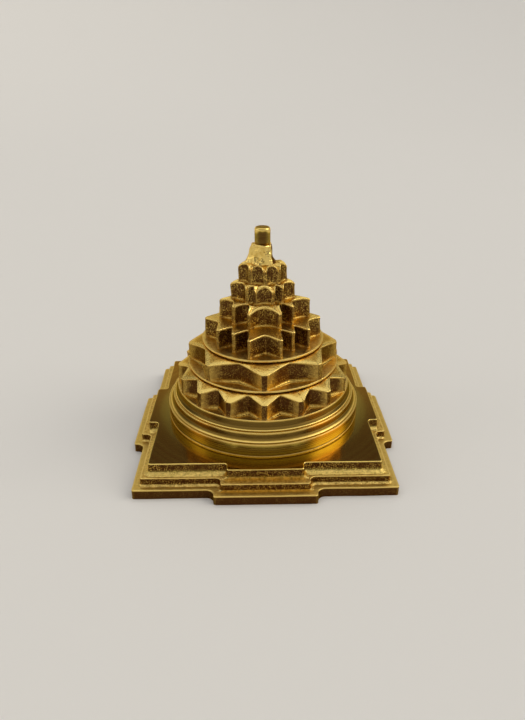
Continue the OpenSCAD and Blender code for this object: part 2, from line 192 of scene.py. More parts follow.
def arched(corners, arch):
    """Star plan with its notches bent into arches.

    A hollow corner lies between the ends a and b of two points. A share s of the way from a to the
    hollow corner, a plain notch is s deep, as a share of its depth. The arch is 1 - (1 - s)^arch deep
    there, so 1 keeps the plain notch and 2 gives a parabola.
    """
    a, b = np.roll(corners, 1, axis=0), np.roll(corners, -1, axis=0)
    into, on = corners - a, b - corners
    hollow = into[:, 0] * on[:, 1] < into[:, 1] * on[:, 0]
    a, middle, b = a[hollow], corners[hollow], b[hollow]
    chord = b - a
    share = ((middle - a) * chord).sum(axis=1, keepdims=True) / (chord ** 2).sum(axis=1, keepdims=True)
    foot = a + chord * share
    s = np.linspace(0, 1, ARCH_STEPS)[:, None, None]
    sunk = (middle - foot) * (1 - (1 - s) ** arch)
    from_a = a + (foot - a) * s + sunk
    from_b = b + (foot - b) * s + sunk
    return np.concatenate([from_a, from_b[-2::-1]]).transpose(1, 0, 2).reshape(-1, 2)


# %% Soft lines
def walk(corners, count):
    """count points at even steps along the closed line through the corners."""
    line = np.vstack([corners, corners[:1]])
    along = np.concatenate([[0], np.cumsum(np.linalg.norm(np.diff(line, axis=0), axis=1))])
    steps = np.linspace(0, along[-1], count, endpoint=False)
    return np.stack([np.interp(steps, along, line[:, axis]) for axis in (0, 1)], axis=1)


def soften(line, reach):
    """A closed line averaged over a bell curve of that reach in mm, by damping its Fourier terms."""
    length = np.linalg.norm(np.diff(line, axis=0, append=line[:1]), axis=1).sum()
    turns = np.fft.fftfreq(len(line), 1 / len(line))
    bell = np.exp(-2 * (np.pi * reach * turns / length) ** 2)
    soft = np.fft.ifft(np.fft.fft(line @ [1, 1j]) * bell)
    return np.stack([soft.real, soft.imag], axis=1)


def smooth_step(low, high, x):
    """0 below low, 1 above high, and t^2 (3 - 2 t) at the share t of the way between them."""
    t = np.clip((x - low) / (high - low), 0, 1)
    return t * t * (3 - 2 * t)


def out_of(line):
    """Unit vectors that point out of a closed anticlockwise line.

    Each is the way from the point before to the point after, turned by a quarter turn to the right.
    """
    along = np.roll(line, -1, axis=0) - np.roll(line, 1, axis=0)
    along /= np.linalg.norm(along, axis=1, keepdims=True)
    return np.stack([along[:, 1], -along[:, 0]], axis=1)


# %% Tips and hollows
LEAST_STAND = 0.05
STAND_REACH = 0.8


def way_to_tip(stands_out):
    """How far each place of an outline is on the way from the middle of its hollow, 0, to a tip, 1.

    Tips and hollows are the highest and the lowest places of stands_out, and the points lie at even
    steps, so the share is the count of steps from the hollow over the count of steps between the two.
    """
    before, after = np.roll(stands_out, 1), np.roll(stands_out, -1)
    tips = np.flatnonzero((stands_out > before) & (stands_out >= after) & (stands_out > LEAST_STAND))
    hollows = np.flatnonzero((stands_out < before) & (stands_out <= after) & (stands_out < -LEAST_STAND))
    count = len(stands_out)

    def steps_to(places):
        """Steps from each point to the nearest of the places, the shorter way round."""
        gap = np.abs(np.arange(count)[:, None] - places)
        return np.minimum(gap, count - gap).min(axis=1)

    return steps_to(hollows) / (steps_to(hollows) + steps_to(tips))


def cast_outline(node, beyond, count, soft, arch=1):
    """Outline of a node's foot with softened corners, and how far each place on it stands out in mm.

    A place stands out by its distance from the axis less that of the line averaged over a longer reach,
    so the number is positive at a point and negative in a hollow.
    """
    points = node_points(node)
    corners = corners_at(points, points[:, 2].min(), beyond)
    print(f"{node}: outline of {len(corners)} corners")
    line = soften(walk(corners if arch == 1 else arched(corners, arch), count), soft)
    return line, from_axis(line) - from_axis(soften(line, STAND_REACH))


# %% [markdown]
# ## The rows of a skin
#
# A tier is built from four sets of rings, and every set is one array: the bore's mouth with the key,
# the top from the key out to the edge, the side from the rounded edge down to the foot, and the socket
# below. Keys and sockets are inside the stack, where nobody sees them, but they are part of the piece:
# taken off the rod, each tier still looks as it should.

# %% Plans and rings
def round_plan(line, radius):
    """Circle with a point on the bearing of each point of the line."""
    return line / np.linalg.norm(line, axis=1, keepdims=True) * radius


def square_plan(line, half):
    """Square with a point on the bearing of each point of the line."""
    return line / np.abs(line).max(axis=1, keepdims=True) * half


def raised(plan, z):
    """Points of a plan at the heights z."""
    return np.concatenate([plan, np.broadcast_to(z, plan.shape[:-1])[..., None]], axis=-1)


def ring(plan, z):
    """One ring: a plan at one height."""
    return raised(plan, z)[None]


def top_rings(inner, outer, height, shares):
    """Top face: rings at the given shares of the way from the inner plan to the outer one."""
    plan = inner + (outer - inner) * np.asarray(shares)[:, None, None]
    return raised(plan, height(plan))


# %% Sides
ROUND_ROWS = 6
WALL_ROWS = 9
COVE_ROWS = 6
LIP = 0.03
print("rings on a side:", ROUND_ROWS + WALL_ROWS + COVE_ROWS + 1)


def side_rings(line, top, foot, edge, cove):
    """Side of a tier, from its top edge to its foot. top, edge and cove may differ from point to point.

    The edge is a quarter circle of radius edge, so at angle a it lies edge * (1 - sin a) inside the
    line and edge * (1 - cos a) below the top. The wall is upright. The cove is a hollow quarter circle
    of radius cove that runs out onto what the tier stands on, and ends in a thin lip.
    """
    a = np.linspace(0, np.pi / 2, ROUND_ROWS)[:, None]
    share = np.linspace(0, 1, WALL_ROWS + 2)[1:-1, None]
    b = np.append(np.linspace(0, np.pi / 2, COVE_ROWS), np.pi / 2)[:, None]
    lip = np.append(np.full(COVE_ROWS, LIP), 0)[:, None]
    wall_top, wall_foot = top - edge, foot + cove + LIP
    each = np.zeros(len(line))
    offset = np.concatenate([each - edge * (1 - np.sin(a)), each + 0 * share, each + cove * (1 - np.cos(b))])
    z = np.concatenate([
        each + top - edge * (1 - np.cos(a)),
        each + wall_top + (wall_foot - wall_top) * share,
        each + foot + lip + cove * (1 - np.sin(b)),
    ])
    return raised(line + out_of(line) * offset[..., None], z)


# %% Keys and sockets
KEY_GAP = 0.1
KEY_TOP_GAP = 0.15
KEY_H = 0.6
SOCKET_H = KEY_H + KEY_TOP_GAP
BORE_R = 1.15
print("keys of", KEY_H, "mm in sockets of", SOCKET_H, "mm")


def hidden_rings(line, foot, socket_plan, socket_top, key_plan, top, key_top):
    """Register faces: foot and socket with the bore's lower end, and the bore's mouth, key and seat."""
    bore = round_plan(line, BORE_R)
    below = np.concatenate([ring(socket_plan, foot), ring(socket_plan, socket_top), ring(bore, socket_top)])
    above = np.concatenate([ring(bore, key_top), ring(key_plan, key_top), ring(key_plan, top)])
    return below, above


def stacked(sets, values):
    """One mark over all sets of rings, with each value spread over the points of its set."""
    return np.concatenate([np.broadcast_to(value, rings.shape[:2]) for rings, value in zip(sets, values)])


def round_register(radius):
    """Spigot or socket of that radius, as a function of the outline."""
    return lambda line: round_plan(line, radius)


def square_register(half):
    """Square key or socket of that half width, as a function of the outline."""
    return lambda line: square_plan(line, half)


# %% [markdown]
# ## A hand-made wobble
#
# No cast edge is quite straight. A sum of a few slow waves moves the points sideways by some hundredths
# of a millimetre. The waves are a formula of the place alone, so tiers of one kind wobble together and
# nothing tears, and the seed keeps them the same in every run.

# %% Wobble
draw = np.random.default_rng(19)
WAVES = 14
WAVE_TURNS = draw.normal(0, 1, (WAVES, 3))
WAVE_START = draw.uniform(0, 2 * np.pi, (WAVES, 2))
print("wobble of", WAVES, "waves")


def wobble(rings, size, pitch):
    """Rings moved sideways by waves: a sum of sines of the place, about pitch mm from crest to crest."""
    phase = rings @ WAVE_TURNS.T * (2 * np.pi / pitch / np.sqrt(3))
    push = np.stack([np.sin(phase + WAVE_START[:, k]).sum(axis=-1) for k in (0, 1)], axis=-1)
    moved = rings.copy()
    moved[..., :2] += push * size / np.sqrt(WAVES / 2)
    return moved


# %% [markdown]
# ## Shader groups
#
# All the finishes are the same brass seen after different work, so the work itself is what the groups
# hold: the grain that sand leaves, the lines that a lathe leaves, and the wear that hands leave. The
# wear group also carries painted light, highlights on its rubbed side and shade and dark reflections on
# its tarnished side, and the sand's bright speckles are partly painted glints. Each group is built once
# and placed in every material that needs it, with its own values.

# %% Node helpers
def feed(tree, socket, value):
    """Gives a socket another node's output, or a plain value."""
    if isinstance(value, bpy.types.NodeSocket):
        tree.links.new(value, socket)
    else:
        socket.default_value = value


def add(tree, kind, inputs=(), **options):
    """Adds a node with its options set. inputs pairs a socket's name or number with what feeds it."""
    node = tree.nodes.new("ShaderNode" + kind)
    for option, value in options.items():
        setattr(node, option, value)
    for key, value in inputs:
        feed(tree, node.inputs[key], value)
    return node


def maths(tree, operation, *values):
    """Output of a Math node."""
    return add(tree, "Math", enumerate(values), operation=operation).outputs[0]


def times(tree, first, second):
    """Product of two values."""
    return maths(tree, "MULTIPLY", first, second)


def weighted(tree, *pairs):
    """Sum of values, each times its weight."""
    total = times(tree, *pairs[0])
    for value, weight in pairs[1:]:
        total = maths(tree, "ADD", total, times(tree, value, weight))
    return total


def between(tree, value, low, high, to_low=0.0, to_high=1.0):
    """Value carried from the range low to high onto another range, and clamped there."""
    ends = [("From Min", low), ("From Max", high), ("To Min", to_low), ("To Max", to_high)]
    node = add(tree, "MapRange", [("Value", value)] + ends, interpolation_type="SMOOTHSTEP")
    return node.outputs[0]


def blend(tree, share, first, second):
    """Colour that goes from first to second with share."""
    return add(tree, "Mix", [(0, share), (6, first), (7, second)], data_type="RGBA").outputs[2]


def noise(tree, place, scale, detail):
    """Cloudy noise of a place."""
    return add(tree, "TexNoise", [("Vector", place), ("Scale", scale), ("Detail", detail)]).outputs[0]


def millimetres(tree):
    """Object coordinates in mm, so that a texture's scale is in features per mm."""
    place = add(tree, "TexCoord").outputs["Object"]
    return add(tree, "VectorMath", [(0, place), ("Scale", 1 / MM)], operation="SCALE").outputs[0]


# %% Group helpers
def new_group(name, inputs, outputs):
    """Empty shader group of numbers. inputs maps a socket's name to its default, outputs lists names."""
    tree = bpy.data.node_groups.new(name, "ShaderNodeTree")
    for label, default in inputs.items():
        socket = tree.interface.new_socket(label, in_out="INPUT", socket_type="NodeSocketFloat")
        socket.default_value = default
    for label in outputs:
        tree.interface.new_socket(label, in_out="OUTPUT", socket_type="NodeSocketFloat")
    entry = tree.nodes.new("NodeGroupInput")
    leave = tree.nodes.new("NodeGroupOutput")
    return tree, entry.outputs, leave.inputs


def place_group(tree, group, **values):
    """Places a group in a material with its own values, and gives its outputs."""
    node = tree.nodes.new("ShaderNodeGroup")
    node.node_tree = group
    for label, value in values.items():
        feed(tree, node.inputs[label.replace("_", " ").capitalize()], value)
    return node.outputs


# %% Sand grain
LUMP_SCALE = 0.3
PIT_SCALE = 1.3
GLINT_SCALE = 1.6
GLINTS_SHOWN = (0.5, 0.64)
DENSE_LUMPS = (0.35, 0.62)
FEW_GLINTS = 0.25


def sand_grain_group():
    """Grain of a sand casting: a height that is pitted and lumpy, and a mask of fine bright speckles,
    partly the grain's own bright tips and partly painted glints of light.
    """
    tree, given, result = new_group("Sand grain", {"Grain": 3.0}, ("Height", "Speckle"))
    place = millimetres(tree)
    grains = noise(tree, place, given["Grain"], 3.0)
    lumps = noise(tree, place, times(tree, given["Grain"], LUMP_SCALE), 2.0)
    pit_scale = times(tree, given["Grain"], PIT_SCALE)
    pits = add(tree, "TexVoronoi", [("Vector", place), ("Scale", pit_scale)]).outputs[0]
    feed(tree, result["Height"], weighted(tree, (grains, 0.6), (pits, 0.4), (lumps, 0.4)))
    # Bright speckles: partly bright grains, partly painted glints.
    glints = noise(tree, place, times(tree, given["Grain"], GLINT_SCALE), 1.0)
    dense = between(tree, lumps, *DENSE_LUMPS, FEW_GLINTS, 1.0)
    feed(tree, result["Speckle"], times(tree, between(tree, glints, *GLINTS_SHOWN), dense))
    return tree


SAND_GRAIN = sand_grain_group()
print("group:", SAND_GRAIN.name)

# %% Lathe lines
HEIGHT_COUNTS = 1.37
BAND_SCALE = 0.2
PATCH_SCALE = 0.15
PATCH_RANGE = (0.3, 0.7)
FAINT_LINES = 0.4
TINT_RANGE = (0.35, 0.65)


def lathe_lines_group():
    """Fine lines of a lathe: noise of the distance from the axis and of the height, fainter in patches."""
    tree, given, result = new_group("Lathe lines", {"Pitch": 0.25}, ("Height", "Tint"))
    place = millimetres(tree)
    x, y, z = add(tree, "SeparateXYZ", [(0, place)]).outputs
    radius = maths(tree, "SQRT", maths(tree, "ADD", times(tree, x, x), times(tree, y, y)))
    profile = maths(tree, "ADD", radius, times(tree, z, HEIGHT_COUNTS))
    path = add(tree, "CombineXYZ", [(0, profile)]).outputs[0]
    scale = maths(tree, "DIVIDE", 1.0, given["Pitch"])
    lines = noise(tree, path, scale, 4.0)
    bands = noise(tree, path, times(tree, scale, BAND_SCALE), 2.0)
    patches = noise(tree, place, PATCH_SCALE, 2.0)
    strength = between(tree, patches, *PATCH_RANGE, FAINT_LINES, 1.0)
    feed(tree, result["Height"], times(tree, lines, strength))
    feed(tree, result["Tint"], between(tree, weighted(tree, (lines, 0.6), (bands, 0.4)), *TINT_RANGE))
    return tree


LATHE_LINES = lathe_lines_group()
print("group:", LATHE_LINES.name)

# %% Wear
CLOUD_SCALE = 1.4
NOISE_MIDDLE = 0.5
WEAR_RANGE = (0.05, 0.95)


def wear_and_light_group():
    """Wear and painted light, from the marks on the skin: rubbed where hands reach, with painted
    highlights, and tarnished where they don't, with painted shade and dark reflections.

    A noise moves both marks by up to half of Break up either way, so neither mask has a clean border.
    """
    tree, given, result = new_group("Wear and painted light", {"Break up": 0.35}, ("Rubbed and lit", "Tarnish and shade"))
    cloud = noise(tree, millimetres(tree), CLOUD_SCALE, 4.0)
    shift = times(tree, maths(tree, "SUBTRACT", cloud, NOISE_MIDDLE), given["Break up"])
    rubbed_and_lit = add(tree, "Attribute", attribute_name="rubbed_and_lit").outputs["Fac"]
    tarnished_and_shaded = add(tree, "Attribute", attribute_name="tarnished_and_shaded").outputs["Fac"]
    feed(tree, result["Rubbed and lit"], between(tree, maths(tree, "ADD", rubbed_and_lit, shift), *WEAR_RANGE))
    feed(tree, result["Tarnish and shade"], between(tree, maths(tree, "SUBTRACT", tarnished_and_shaded, shift), *WEAR_RANGE))
    return tree


WEAR_AND_LIGHT = wear_and_light_group()
print("group:", WEAR_AND_LIGHT.name)

# %% [markdown]
# ## Three finishes of one brass
#
# Bright brass is where the metal is rubbed, pale brass where it is rubbed most, and umber is the tarnish
# that stays in the hollows. Some of the bright and pale brass is painted highlight, on the coves, the
# walls beside the tips, the block's faces and the pin's shoulder, and most of the umber is painted shade
# and dark reflection, on the walls of terraces, rings, petals and stars. The body between them is warm
# on a casting and a little yellower on what was turned, and the polished plate goes from yellow at the
# plinth to brown in its corners: a painted reflection of the plinth that fades into a painted dark
# reflection. A metal whitens when it is seen at a low angle, and the grazing tint keeps that golden too.
# The cast finish is mostly umber and grain with bright tops and edges, the turned one has lathe lines,
# and the polished one is nearly a mirror and shows only faint arcs.

# %% Brass colours
PALE_BRASS = (0.86, 0.63, 0.19, 1)
BRIGHT_BRASS = (0.80, 0.54, 0.12, 1)
YELLOW_BRASS = (0.72, 0.56, 0.12, 1)
TURNED_BRASS = (0.46, 0.345, 0.062, 1)
WARM_BRASS = (0.42, 0.22, 0.045, 1)
BROWN_BRASS = (0.34, 0.15, 0.035, 1)
UMBER = (0.07, 0.025, 0.007, 1)
GRAZING_TINT = (0.95, 0.72, 0.4, 1)
BURNISHED = 0.8


def new_material(name):
    """Material with an empty tree, a metal Principled BSDF and its output."""
    material = bpy.data.materials.new(name)
    material.use_nodes = True
    tree = material.node_tree
    tree.nodes.clear()
    metal = add(tree, "BsdfPrincipled", [("Metallic", 1.0), ("Specular Tint", GRAZING_TINT)])
    output = add(tree, "OutputMaterial")
    tree.links.new(metal.outputs[0], output.inputs[0])
    return material, tree, metal.inputs


def colour(tree, surface, rubbed_and_lit, worn_and_lit):
    """Feeds the base colour: the worn and painted metal, going to pale brass where it is rubbed past
    BURNISHED, which also paints the brightest highlights.
    """
    burnished = between(tree, rubbed_and_lit, BURNISHED, 1.0)
    feed(tree, surface["Base Color"], blend(tree, burnished, worn_and_lit, PALE_BRASS))


def relief(tree, surface, height, depth):
    """Feeds the normal with a bump whose height runs over depth mm."""
    bump = add(tree, "Bump", [("Distance", depth * MM), ("Height", height)])
    feed(tree, surface["Normal"], bump.outputs[0])


# %% Cast finish
CAST_MATT = 0.36


def cast_finish(name, grain, depth, dark, speckle, kept, pits=0.2, break_up=0.5, gloss=0.24):
    """Sand-cast brass: umber with bright specks in the hollows, warm walls, bright tops and pale edges.
    The umber is partly tarnish and mostly painted shade and dark reflection, and the specks are partly
    painted glints.

    kept is how much of the grain is left where the metal is rubbed, and pits how dark the pits between
    the grains are there. gloss is the roughness of the rubbed places.
    """
    material, tree, surface = new_material(name)
    sand = place_group(tree, SAND_GRAIN, grain=grain)
    wear_and_light = place_group(tree, WEAR_AND_LIGHT, break_up=break_up)
    # Umber on the walls: partly tarnish, mostly painted shade and dark reflection.
    walls = blend(tree, times(tree, wear_and_light["Tarnish and shade"], dark), WARM_BRASS, UMBER)
    specked = blend(tree, times(tree, sand["Speckle"], speckle), walls, BRIGHT_BRASS)
    grains = between(tree, sand["Speckle"], 0.0, 1.0, 1 - pits, 1.0)
    worn_and_lit = blend(tree, times(tree, wear_and_light["Rubbed and lit"], grains), specked, BRIGHT_BRASS)
    colour(tree, surface, wear_and_light["Rubbed and lit"], worn_and_lit)
    feed(tree, surface["Roughness"], between(tree, wear_and_light["Rubbed and lit"], 0.0, 1.0, CAST_MATT, gloss))
    left = between(tree, wear_and_light["Rubbed and lit"], 0.0, 1.0, 1.0, kept)
    relief(tree, surface, times(tree, sand["Height"], left), depth)
    return material


CAST_STAR = cast_finish(
    "cast_star_brass", grain=2.4, depth=0.16, dark=0.97, speckle=0.75, kept=0.6, pits=0.3
)
CAST_BLOCK = cast_finish("cast_block_brass", grain=1.6, depth=0.2, dark=0.97, speckle=0.2, kept=0.8)
CAST_PETAL = cast_finish(
    "cast_petal_brass", grain=2.2, depth=0.14, dark=0.97, speckle=0.3, kept=0.45, pits=0.35
)
CAST_DISC = cast_finish(
    "cast_disc_brass", grain=2.2, depth=0.22, dark=0.95, speckle=0.6, kept=0.7, pits=0.6, gloss=0.28
)
CAST_TERRACE = cast_finish(
    "cast_terrace_brass", grain=2.6, depth=0.2, dark=0.97, speckle=0.6, kept=1.0, pits=0.75,
    break_up=0.4, gloss=0.36,
)
CAST_FOOT = cast_finish(
    "cast_foot_brass", grain=2.6, depth=0.05, dark=0.97, speckle=0.1, kept=1.0, break_up=0.2, gloss=0.36
)
print("cast finishes:", [finish.name for finish in bpy.data.materials if finish.name.startswith("cast_")])

# %% Turned finish
SMOOTH_BREAK_UP = 0.3
LINES_SHOWN = 0.3
LINES_WHERE_DARK = 0.09
LINE_ROUGHNESS = (0.22, 0.34)


def turned_finish(name, pitch, depth, dark):
    """Brass from the lathe: fine lines in its colour and relief, bright edges, and umber in the grooves,
    on the slopes and on the walls, which is painted shade and dark reflection.
    """
    material, tree, surface = new_material(name)
    lathe = place_group(tree, LATHE_LINES, pitch=pitch)
    wear_and_light = place_group(tree, WEAR_AND_LIGHT, break_up=SMOOTH_BREAK_UP)
    # Umber where the profile is marked dark: painted shade and dark reflection.
    body = blend(tree, times(tree, wear_and_light["Tarnish and shade"], dark), TURNED_BRASS, UMBER)
    shown = between(tree, wear_and_light["Tarnish and shade"], 0.0, 1.0, LINES_SHOWN, LINES_WHERE_DARK)
    lined = blend(tree, times(tree, lathe["Tint"], shown), body, BRIGHT_BRASS)
    colour(tree, surface, wear_and_light["Rubbed and lit"], blend(tree, wear_and_light["Rubbed and lit"], lined, BRIGHT_BRASS))
    feed(tree, surface["Roughness"], between(tree, lathe["Tint"], 0.0, 1.0, *LINE_ROUGHNESS))
    relief(tree, surface, lathe["Height"], depth)
    return material


TURNED = turned_finish("turned_brass", pitch=0.22, depth=0.012, dark=0.82)
PIN = turned_finish("pin_brass", pitch=1.5, depth=0.004, dark=0.94)
print("turned finishes:", TURNED.name, PIN.name)

# %% Polished finish
ARC_PITCH = 0.3
ARC_TINT = 0.25
ARC_HEIGHT = 0.022
SIDE_GRAIN = 2.6
SIDE_DEPTH = 0.18
SIDE_SPECKLE = 0.8
SIDE_PITS = 0.7
MIRROR_ROUGHNESS = 0.14
SIDE_ROUGHNESS = 0.4


def polished_finish(name):
    """Polished brass: nearly a mirror, with faint arcs of the lathe, on rough sides painted dark, partly as
    tarnish and mostly as dark reflection. The mirror's brown is a painted dark reflection, and its yellow
    near the plinth a painted reflection of the plinth.

    Rubbed places on the sides keep dark pits between their grains. The mirror has none.
    """
    material, tree, surface = new_material(name)
    lathe = place_group(tree, LATHE_LINES, pitch=ARC_PITCH)
    sand = place_group(tree, SAND_GRAIN, grain=SIDE_GRAIN)
    wear_and_light = place_group(tree, WEAR_AND_LIGHT, break_up=SMOOTH_BREAK_UP)
    # The brown of the mirror is a painted dark reflection; its yellow near the plinth, a painted reflection
    # of the plinth.
    mirror = blend(tree, times(tree, lathe["Tint"], ARC_TINT), BROWN_BRASS, YELLOW_BRASS)
    rough = blend(tree, times(tree, sand["Speckle"], SIDE_SPECKLE), UMBER, BRIGHT_BRASS)
    body = blend(tree, wear_and_light["Tarnish and shade"], mirror, rough)
    pitted = between(tree, sand["Speckle"], 0.0, 0.5, 1 - SIDE_PITS, 1.0)
    grains = maths(tree, "MAXIMUM", pitted, maths(tree, "SUBTRACT", 1.0, wear_and_light["Tarnish and shade"]))
    worn_and_lit = blend(tree, times(tree, wear_and_light["Rubbed and lit"], grains), body, YELLOW_BRASS)
    colour(tree, surface, wear_and_light["Rubbed and lit"], worn_and_lit)
    roughness = between(tree, wear_and_light["Tarnish and shade"], 0.0, 1.0, MIRROR_ROUGHNESS, SIDE_ROUGHNESS)
    feed(tree, surface["Roughness"], roughness)
    arcs = times(tree, lathe["Height"], ARC_HEIGHT)
    sides = times(tree, sand["Height"], wear_and_light["Tarnish and shade"])
    relief(tree, surface, maths(tree, "ADD", arcs, sides), SIDE_DEPTH)
    return material


POLISHED = polished_finish("polished_brass")
print("polished finish:", POLISHED.name)

# %% [markdown]
# ## The square terraces
#
# Three plates lie under everything, each with a gate in the middle of each side. Their walls came
# out of the sand grainy, and their dark colour below the edge is a painted dark reflection. A file has
# brightened the upper edges. A hollow cove runs out from the foot of each upper wall onto the ledge
# below, painted bright, partly as wear and partly as a painted highlight, with dark pits left between its
# grains. It leans back towards the light, so it catches light where an upright wall stays dark, and the
# painted dark of the wall is lifted there. Only the top plate has been on the polishing wheel, and near
# the plinth it is painted yellow, a painted reflection of the plinth.

# %% One terrace
TERRACE_POINTS = 1400
TERRACE_BEYOND = 20
TERRACE_EDGE = 0.12
TERRACE_SOFT = 0.07
TERRACE_TOP_SHARES = np.concatenate([np.linspace(0.02, 0.9, 10), [0.94, 0.97, 0.985]])
BRIGHT_EDGE = (0.06, 0.26)
DARK_WALL = (0.06, 0.24)
COVE_RANGE = (0.45, 0.95)
COVE_SHINE = 0.8
COVE_LESS_SHADE = 0.2
CORNER_RANGE = (0.05, 0.4)
CORNER_SHINE = 0.35
SHINE_FADE = 6


def terrace(name, key, socket, socket_h, cove, material, shine, shine_reach=100):
    """A terrace: its top plate, a rounded edge, an upright wall and a cove.

    shine is how rubbed the top is, which on the top plate is a painted reflection of the plinth, and
    shine_reach how far from the axis that begins to fade.
    """
    foot, key_top = (corner.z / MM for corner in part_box(name))
    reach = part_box(name)[1].x / MM
    top = key_top - KEY_H
    line, stands_out = cast_outline(name, TERRACE_BEYOND, TERRACE_POINTS, TERRACE_SOFT)
    inner = line - out_of(line) * TERRACE_EDGE
    below, above = hidden_rings(line, foot, socket(line), foot + socket_h, key(line), top, key_top)
    lid = top_rings(key(line), inner, lambda plan: top, TERRACE_TOP_SHARES)
    side = side_rings(line, top, foot, TERRACE_EDGE, cove)
    depth, rise = top - side[..., 2], side[..., 2] - foot
    # Painted reflection of the plinth on the top plate, a painted highlight in the cove, painted dark
    # reflection on the walls.
    plate = shine * (1 - smooth_step(shine_reach, shine_reach + SHINE_FADE, from_axis(lid[..., :2])))
    in_cove = 1 - smooth_step(*COVE_RANGE, rise / cove)
    corner = CORNER_SHINE * smooth_step(*CORNER_RANGE, stands_out)
    walls = np.maximum(np.maximum(1 - smooth_step(*BRIGHT_EDGE, depth), corner), COVE_SHINE * in_cove)
    dark = smooth_step(*DARK_WALL, depth) * (1 - COVE_LESS_SHADE * in_cove)
    sets = (above, lid, side, below)
    rubbed_and_lit, tarnished_and_shaded = stacked(sets, (0, plate, walls, 0)), stacked(sets, (0, 0, dark, 1))
    rings = wobble(np.concatenate(sets), size=0.025, pitch=7)
    rings[..., :2] = np.clip(rings[..., :2], -reach, reach)
    return put(name, closed_skin(name, rings, rubbed_and_lit, tarnished_and_shaded), material)


# %% Terraces
TERRACE_KEY = 10
RING_SPIGOT = 15
COUNTERBORE_R = 3.2
COUNTERBORE_H = 1.7
LOWER_COVE = 0.02
MIDDLE_COVE = 0.62
UPPER_COVE = 1.25
LEDGE_SHINE = 0.75
PLATE_SHINE = 0.68
PLATE_SHINE_REACH = 24

terrace_key, terrace_socket = square_register(TERRACE_KEY), square_register(TERRACE_KEY + KEY_GAP)
counterbore, ring_spigot = round_register(COUNTERBORE_R), round_register(RING_SPIGOT)
terrace("bhupura_lower", terrace_key, counterbore, COUNTERBORE_H, LOWER_COVE, CAST_FOOT, LEDGE_SHINE)
terrace("bhupura_middle", terrace_key, terrace_socket, SOCKET_H, MIDDLE_COVE, CAST_TERRACE, LEDGE_SHINE)
terrace(
    "bhupura_upper", ring_spigot, terrace_socket, SOCKET_H, UPPER_COVE, POLISHED,
    PLATE_SHINE, PLATE_SHINE_REACH,
)

# %% [markdown]
# ## The turned pieces
#
# Plinth rings and discs come off a lathe, so each is a profile carried round the axis. The profile is
# a list of corners in radius and height. Every corner is eased by a small curve, because a perfectly
# sharp edge catches no light. Grooves, slopes and the walls above them are painted dark, as painted
# shade and dark reflection.

# %% Profiles
TURNED_POINTS = 360
TURN = np.linspace(0, 2 * np.pi, TURNED_POINTS, endpoint=False)
CIRCLE = np.stack([np.cos(TURN), np.sin(TURN)], axis=1)
EASE_STEPS = np.linspace(0, 1, 5)
MOST_EASED = 0.45
FULL_SHARE = 0.3
print("points round the axis:", TURNED_POINTS)


def round_rings(profile):
    """A profile carried round the axis: radius r and height z give (r cos t, r sin t, z) at turn t."""
    return raised(CIRCLE * profile[:, None, :1], profile[:, 1:])


def eased(corners, ease):
    """Profile with each inner corner replaced by a short curve from ease mm before it to ease mm after it.

    The curve is a quadratic one: (1 - t)^2 before + 2 t (1 - t) corner + t^2 after.
    """
    corners = np.asarray(corners, float)
    middle = corners[1:-1]
    back, on = corners[:-2] - middle, corners[2:] - middle
    back_length, on_length = (np.linalg.norm(way, axis=1, keepdims=True) for way in (back, on))
    before = middle + back / back_length * np.minimum(ease, MOST_EASED * back_length)
    after = middle + on / on_length * np.minimum(ease, MOST_EASED * on_length)
    t = EASE_STEPS[None, :, None]
    curves = (1 - t) ** 2 * before[:, None] + 2 * t * (1 - t) * middle[:, None] + t ** 2 * after[:, None]
    return np.vstack([corners[:1], curves.reshape(-1, 2), corners[-1:]])


def refined(profile, step):
    """Profile with extra points, so that no stretch is longer than about step mm."""
    lengths = np.linalg.norm(np.diff(profile, axis=0), axis=1)
    along = np.concatenate([[0], np.cumsum(lengths)])
    marks = np.union1d(along, np.arange(0, along[-1], step))
    return np.stack([np.interp(marks, along, profile[:, axis]) for axis in (0, 1)], axis=1)


def near(profile, places, fade):
    """1 on the profile at the given places, as radius and height, falling to 0 at fade mm from them.

    The fall starts at FULL_SHARE of that distance and is a smooth step of the gap to the nearest place.
    """
    gap = np.linalg.norm(profile[:, None] - np.asarray(places, float)[None], axis=-1).min(axis=1)
    return 1 - smooth_step(FULL_SHARE * fade, fade, gap)


# %% One turned piece
PROFILE_STEP = 0.6
BRIGHT_REACH = 0.3
DARK_REACH = 0.55
TOP_FACE = 0.05


def turned(name, corners, bright, dark, material, ease=0.1, top=0.0, top_shine=0.0):
    """A turned piece: its profile round the axis, from the bore's mouth over the top to the bore again.

    bright lists the places on the profile that are rubbed bright, and dark those that are painted dark,
    as painted shade and dark reflection.
    top is the level of the top face, and top_shine how rubbed that face is.
    """
    profile = refined(eased(corners, ease), PROFILE_STEP)
    rings = round_rings(profile)
    top_face = top_shine * (np.abs(profile[:, 1] - top) < TOP_FACE)
    rubbed_and_lit = np.maximum(near(profile, bright, BRIGHT_REACH), top_face)
    tarnished_and_shaded = near(profile, dark, DARK_REACH)
    marks = (np.repeat(mark[:, None], TURNED_POINTS, axis=1) for mark in (rubbed_and_lit, tarnished_and_shaded))
    return put(name, closed_skin(name, rings, *marks), material)


def lathe_levels(name):
    """Foot, top and radius of a turned node, in mm. The top is its highest level."""
    low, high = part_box(name)
    return low.z / MM, high.z / MM, high.x / MM


# %% Plinth rings
LIP_H = 0.25
LIP_BRIGHT = 0.1
GROOVE = 0.2
FLARE = 0.8
SLOPE_H = 0.5
FOOT_CUT = 0.12
WALL_STEP = 0.3
SIXTEEN_SPIGOT = 11


